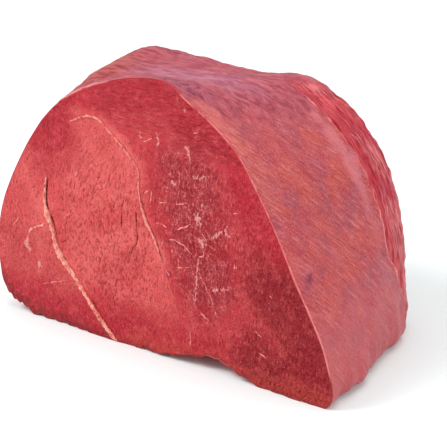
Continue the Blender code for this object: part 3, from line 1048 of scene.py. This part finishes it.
def cut_meat_finish():
    made = Finish("cut_meat")
    broad = made.noise(16 * MM, detail=2.0)
    middling = made.noise(4 * MM, detail=3.0, roughness=0.6)
    upright = made.noise(1.0 * MM, stretch=(0.75, 1, 1.9), detail=2.5, roughness=0.6, distortion=0.7)
    level = made.noise(1.1 * MM, stretch=(3.6, 1, 0.7), detail=3.0, roughness=0.65, distortion=1.1)
    weave = made.sum("MULTIPLY_ADD", made.sum("SUBTRACT", level, upright), made.layer("level"), upright)
    fine = made.noise(0.55 * MM, detail=2.0, roughness=0.7)
    crimson = made.layer("crimson")
    plum = made.layer("plum")
    deep = made.layer("deep")
    strength = made.step(crimson, 0.2, 0.9, 1.0, 1.3)

    colour = made.tint(SALMON, PALE_SALMON, broad, 0.35, 0.7)
    colour = made.tint(colour, FLAP, "flap", 0.2, 0.9, 0.32)
    colour = made.tint(colour, CRIMSON, crimson, 0.1, 0.8, 0.95)
    colour = made.tint(colour, PLUM, plum, 0.1, 0.9, 0.85)
    colour = made.tint(colour, DEEP, deep, 0.05, 0.95, 0.95)
    colour = made.tint(colour, ORANGE, "foot", 0.1, 0.9, 0.6)
    colour = made.tint(colour, BLOOD, "blood", 0.1, 0.9, 0.75)
    clouds = made.sum("MULTIPLY", made.step(middling, 0.45, 0.75, 0, 0.3), strength)
    colour = made.blend(clouds, colour, PALE_SALMON)
    # Painted shade in the pits of the weave and painted highlight on its crests, in the same pattern that
    # the bump raises
    dark = made.sum("MULTIPLY", made.step(weave, 0.46, 0.3, 0, 0.65), strength)
    colour = made.blend(dark, colour, PIT_SHADE)
    light = made.sum("MULTIPLY", made.step(weave, 0.54, 0.72, 0, 0.7), strength)
    colour = made.blend(light, colour, made.blend(crimson, PALE_CREST_HIGHLIGHT, CRIMSON_STREAK_HIGHLIGHT))
    # A fine speckle of painted shade and painted highlight
    colour = made.tint(colour, PIT_SHADE, fine, 0.48, 0.28, 0.6)
    crest_highlight = made.blend(crimson, PALE_CREST_HIGHLIGHT, CRIMSON_CREST_HIGHLIGHT)
    colour = made.tint(colour, crest_highlight, fine, 0.54, 0.74, 0.6)

    speckle = made.step(made.cells(0.9 * MM, feature="F1"), 0.35, 0.75)
    speckle = made.sum("MULTIPLY", speckle, made.step(deep, 0.3, 0.9, 0, 0.3))
    colour = made.blend(speckle, colour, DARK_SPECKLE)
    marbled = made.ragged("plum", middling, 1.6)
    marbled = made.sum("MULTIPLY", marbled, made.step(plum, 0.05, 0.4))
    web_gap = made.cells(2.2 * MM, stretch=(1, 1, 1.2))
    web = made.sum("MULTIPLY", made.step(web_gap, 0.1, 0.02), made.step(weave, 0.42, 0.6))
    web = made.sum("MULTIPLY", web, made.step(marbled, 0.3, 1.0, 0, 0.5))
    colour = made.blend(web, colour, FAT)
    dot_gap = made.cells(1.5 * MM, feature="F1")
    dots = made.sum("MULTIPLY", made.step(dot_gap, 0.3, 0.12), made.step(middling, 0.54, 0.64))
    dots = made.sum("MULTIPLY", dots, made.step(marbled, 0.2, 0.8, 0.05, 0.7))
    colour = made.blend(dots, colour, FAT)

    # Painted shade in the pits of the grain
    hollow_shade = made.step(made.sum("MULTIPLY_ADD", fine, 0.3, made.layer("grain")), 0.6, 1.15, 0, 0.42)
    colour = made.blend(hollow_shade, colour, PIT_SHADE)
    # Painted shade in the cracks and grooves
    cracks = made.step(made.layer("crack_shade"), 0.15, 0.75, 0, 0.9)
    colour = made.blend(cracks, colour, CRACK_PAINTED_SHADE)
    frayed = made.sum("MULTIPLY", made.sum("SUBTRACT", weave, 0.5), 3.0)
    frayed = made.sum("MULTIPLY", frayed, made.step(made.layer("fat"), 0.0, 0.3))
    ragged = made.sum("ADD", made.layer("fat"), frayed)
    colour = made.tint(colour, PALE_FAT, ragged, 0.25, 0.8, 0.9)
    colour = made.tint(colour, SHORE, "shore", 0.15, 0.8, 0.6)

    woven = made.sum("MULTIPLY", weave, strength)
    height = made.sum("MULTIPLY_ADD", woven, 1.2, made.sum("MULTIPLY", fine, 0.5))
    height = made.sum("SUBTRACT", height, made.sum("MULTIPLY", hollow_shade, 0.4))
    wetness = made.step(middling, 0.3, 0.8, 0.42, 0.6)
    soften(made, 0.04, 0.6 * MM)
    return made.finish(colour, wetness, height, 0.8 * MM)


def body_finish():
    made = Finish("silverskin")
    top = made.layer("top")
    bare = made.layer("bare")
    broad = made.noise(16 * MM, detail=3.0)
    patchy = made.noise(13 * MM, detail=4.0, roughness=0.6)
    middling = made.noise(5 * MM, detail=3.0, roughness=0.6)
    fine = made.noise(0.8 * MM, detail=2.0, roughness=0.6)
    hair = made.noise(0.7 * MM, stretch=(5, 15, 1), detail=3.0, roughness=0.65, distortion=0.5, turn=SLANT)
    sweep = made.noise(1 * MM, stretch=(8, 26, 3.4), detail=3.0, roughness=0.55, turn=SLANT)
    ripple = made.noise(1 * MM, stretch=(10, 2.6, 2.6), detail=3.0, roughness=0.6, distortion=0.6)
    fibre = made.noise(0.9 * MM, stretch=(9, 1.3, 12), detail=4.0, roughness=0.65, distortion=0.25)

    colour = made.tint(ROSE, WARM_ROSE, broad, 0.38, 0.62)
    colour = made.tint(colour, DUSK, patchy, 0.5, 0.62, 0.8)
    colour = made.tint(colour, WARM_PATCH, patchy, 0.47, 0.36, 0.6)
    colour = made.tint(colour, MILK, sweep, 0.48, 0.72, 0.45)
    colour = made.tint(colour, PALE_HAIR, hair, 0.52, 0.72, 0.6)
    colour = made.tint(colour, DARK_HAIR, hair, 0.47, 0.28, 0.68)
    thin_hair = made.noise(0.6 * MM, stretch=(5, 24, 1), detail=2.0, roughness=0.6, turn=SLANT - 0.12)
    colour = made.tint(colour, THIN_HAIR, thin_hair, 0.57, 0.7, 0.5)
    colour = made.tint(colour, DARK_HAIR, thin_hair, 0.43, 0.3, 0.4)
    colour = made.tint(colour, PALE_SPECK, fine, 0.52, 0.72, 0.45)

    colour = made.tint(colour, CALM_ROSE, "calm", 0.1, 0.9, 0.45)
    # Painted sheen over the membrane's pale tone near the torn edge
    colour = made.tint(colour, PAINTED_SHEEN_ROSE, "pale_sheen", 0.1, 0.9, 0.55)
    top_colour = made.tint(TOP_DARK, TOP_PALE, ripple, 0.36, 0.64)
    natural = made.sum("SUBTRACT", 1.0, made.sum("MAXIMUM", made.layer("side"), top))
    film = made.noise(22 * MM, detail=4.0, roughness=0.65, distortion=0.4)
    flesh = made.tint(FLESH_DARK, FLESH_PALE, middling, 0.3, 0.7)
    flesh = made.tint(flesh, FILM, film, 0.46, 0.62, 0.55)
    colour = made.blend(made.sum("MULTIPLY", natural, 0.72), colour, flesh)
    colour = made.blend(top, colour, top_colour)
    orange = made.tint(RUST_DARK, RUST_PALE, ripple, 0.38, 0.62)
    colour = made.tint(colour, orange, "orange", 0.1, 0.8, 0.9)
    # A painted reflection of the sky on the top
    sheen = made.tint(SHEEN_DARK, SHEEN_PALE, ripple, 0.38, 0.62)
    colour = made.tint(colour, sheen, "sheen", 0.2, 0.9, 0.85)
    mottle = made.tint(MOTTLE_DARK, MOTTLE_PALE, middling, 0.42, 0.56)
    colour = made.tint(colour, mottle, "mottle", 0.2, 0.9, 0.85)
    peach = made.tint(PEACH_DARK, PEACH_PALE, hair, 0.38, 0.62)
    colour = made.tint(colour, peach, "peach", 0.1, 0.9, 0.55)
    colour = made.tint(colour, DARK_SPECK, fine, 0.46, 0.28, 0.5)

    bare_colour = made.tint(BARE_DARK, BARE_PALE, fibre, 0.4, 0.6)
    bare_colour = made.tint(bare_colour, BARE_PATCH, patchy, 0.5, 0.6, 0.6)
    colour = made.blend(bare, colour, bare_colour)
    blood = made.sum("MAXIMUM", made.step(made.layer("blood"), 0.1, 0.9, 0, 0.8), made.layer("fresh"))
    blood = made.sum("MULTIPLY", bare, made.sum("MULTIPLY", blood, 0.9))
    streaky = made.tint(FRESH_DARK, FRESH_PALE, fibre, 0.38, 0.62)
    colour = made.blend(blood, colour, streaky)
    # The torn edge, pale with a painted highlight along it
    torn = made.ragged("torn_edge", fibre, 2.0)
    colour = made.tint(colour, TORN_EDGE_HIGHLIGHT, torn, 0.5, 1.0, 0.9)
    pale = made.ragged("pale", ripple, 1.5)
    colour = made.tint(colour, PALE_STRIP, pale, 0.15, 0.95, 0.8)
    rim_colour = made.blend(made.layer("low_rim"), CRIMSON, LOW_RIM)
    # A fine speckle of painted pit shade on the silverskin's edge
    rim_colour = made.tint(rim_colour, PIT_SHADE, fine, 0.5, 0.3, 0.6)
    colour = made.tint(colour, rim_colour, "rim", 0.3, 0.9)
    lip = made.ragged("lip", middling, 1.6)
    colour = made.tint(colour, LIP, lip, 0.45, 1.15, 0.9)

    height = made.sum("MULTIPLY_ADD", hair, 0.9, made.sum("MULTIPLY", middling, 0.4))
    height = made.sum("MULTIPLY_ADD", made.sum("MULTIPLY", ripple, top), 1.2, height)
    height = made.sum("MULTIPLY_ADD", made.sum("MULTIPLY", fibre, bare), 1.2, height)
    height = made.sum("MULTIPLY_ADD", fine, 0.3, height)
    wetness = made.step(middling, 0.3, 0.8, 0.36, 0.52)
    soften(made, 0.05, 0.8 * MM)
    return made.finish(colour, wetness, height, 0.6 * MM)


def gristle_finish():
    made = Finish("gristle")
    fine = made.noise(0.8 * MM, detail=2.0, roughness=0.6)
    middling = made.noise(2.5 * MM, detail=3.0)
    colour = made.tint(GRISTLE_DARK, GRISTLE_PALE, middling, 0.35, 0.6)
    colour = made.tint(colour, GRISTLE_PIT, fine, 0.48, 0.32, 0.8)
    soften(made, 0.1, 0.8 * MM)
    return made.finish(colour, 0.45, fine, 0.4 * MM)


def thread_finish():
    """Fat threads that fade in and out of the meat."""
    made = Finish("fat_threads")
    fine = made.noise(0.7 * MM, detail=2.0, roughness=0.6)
    middling = made.noise(1.8 * MM, detail=2.0)
    colour = made.tint(SUNKEN_FAT, FAT, middling, 0.36, 0.52)
    colour = made.tint(colour, CRIMSON, fine, 0.46, 0.3, 0.7)
    soften(made, 0.1, 0.8 * MM)
    return made.finish(colour, 0.5, fine, 0.3 * MM)


def build_stage():
    bpy.ops.object.select_all(action="DESELECT")
    bpy.ops.mesh.primitive_plane_add(size=FLOOR_SIZE, location=(0, 0, 0))
    floor = bpy.context.object
    floor.name = "floor"
    paint = bpy.data.materials.new("floor")
    paint.use_nodes = True
    shader = paint.node_tree.nodes["Principled BSDF"]
    shader.inputs["Base Color"].default_value = FLOOR_COLOUR
    shader.inputs["Roughness"].default_value = 0.9
    floor.data.materials.append(paint)

    world = bpy.data.worlds.new("studio")
    bpy.context.scene.world = world
    world.use_nodes = True
    world.node_tree.nodes["Background"].inputs["Color"].default_value = (1, 1, 1, 1)
    world.node_tree.nodes["Background"].inputs["Strength"].default_value = WORLD_LIGHT
    for name, place, size, power in LAMPS:
        lamp = bpy.data.lights.new(name, "AREA")
        lamp.size = size
        lamp.energy = power
        holder = bpy.data.objects.new(name, lamp)
        holder.location = place
        holder.rotation_euler = (LOOK_AT - Vector(place)).to_track_quat("-Z", "Y").to_euler()
        bpy.context.scene.collection.objects.link(holder)


def build_camera():
    camera = bpy.data.cameras.new("camera")
    camera.lens = LENS
    holder = bpy.data.objects.new("camera", camera)
    around, up = math.radians(AZIMUTH), math.radians(ELEVATION)
    back = Vector((math.sin(around) * math.cos(up), -math.cos(around) * math.cos(up), math.sin(up)))
    holder.location = CAMERA_TARGET + back * CAMERA_DISTANCE
    holder.rotation_euler = (-back).to_track_quat("-Z", "Y").to_euler()
    bpy.context.scene.collection.objects.link(holder)
    bpy.context.scene.camera = holder


def dress(piece, material):
    piece.data.materials.clear()
    piece.data.materials.append(material)
    choose_only(piece)
    bpy.ops.object.shade_smooth_by_angle(angle=SHARP_ANGLE)
    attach(piece, BODY)


def main():
    body = copy_of_solid()
    meat = split_cut_face(body)
    build_body(body)
    dress(build_cut_meat(meat, body), cut_meat_finish())
    body.vertex_groups.clear()
    dress(body, body_finish())
    stands_at = height_map(meat)
    gristle = gristle_finish()
    dress(build_seam(stands_at), gristle)
    dress(build_marbling(stands_at), thread_finish())
    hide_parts(SOLID)
    build_stage()
    build_camera()
    bpy.context.scene.view_settings.view_transform = "Standard"


main()
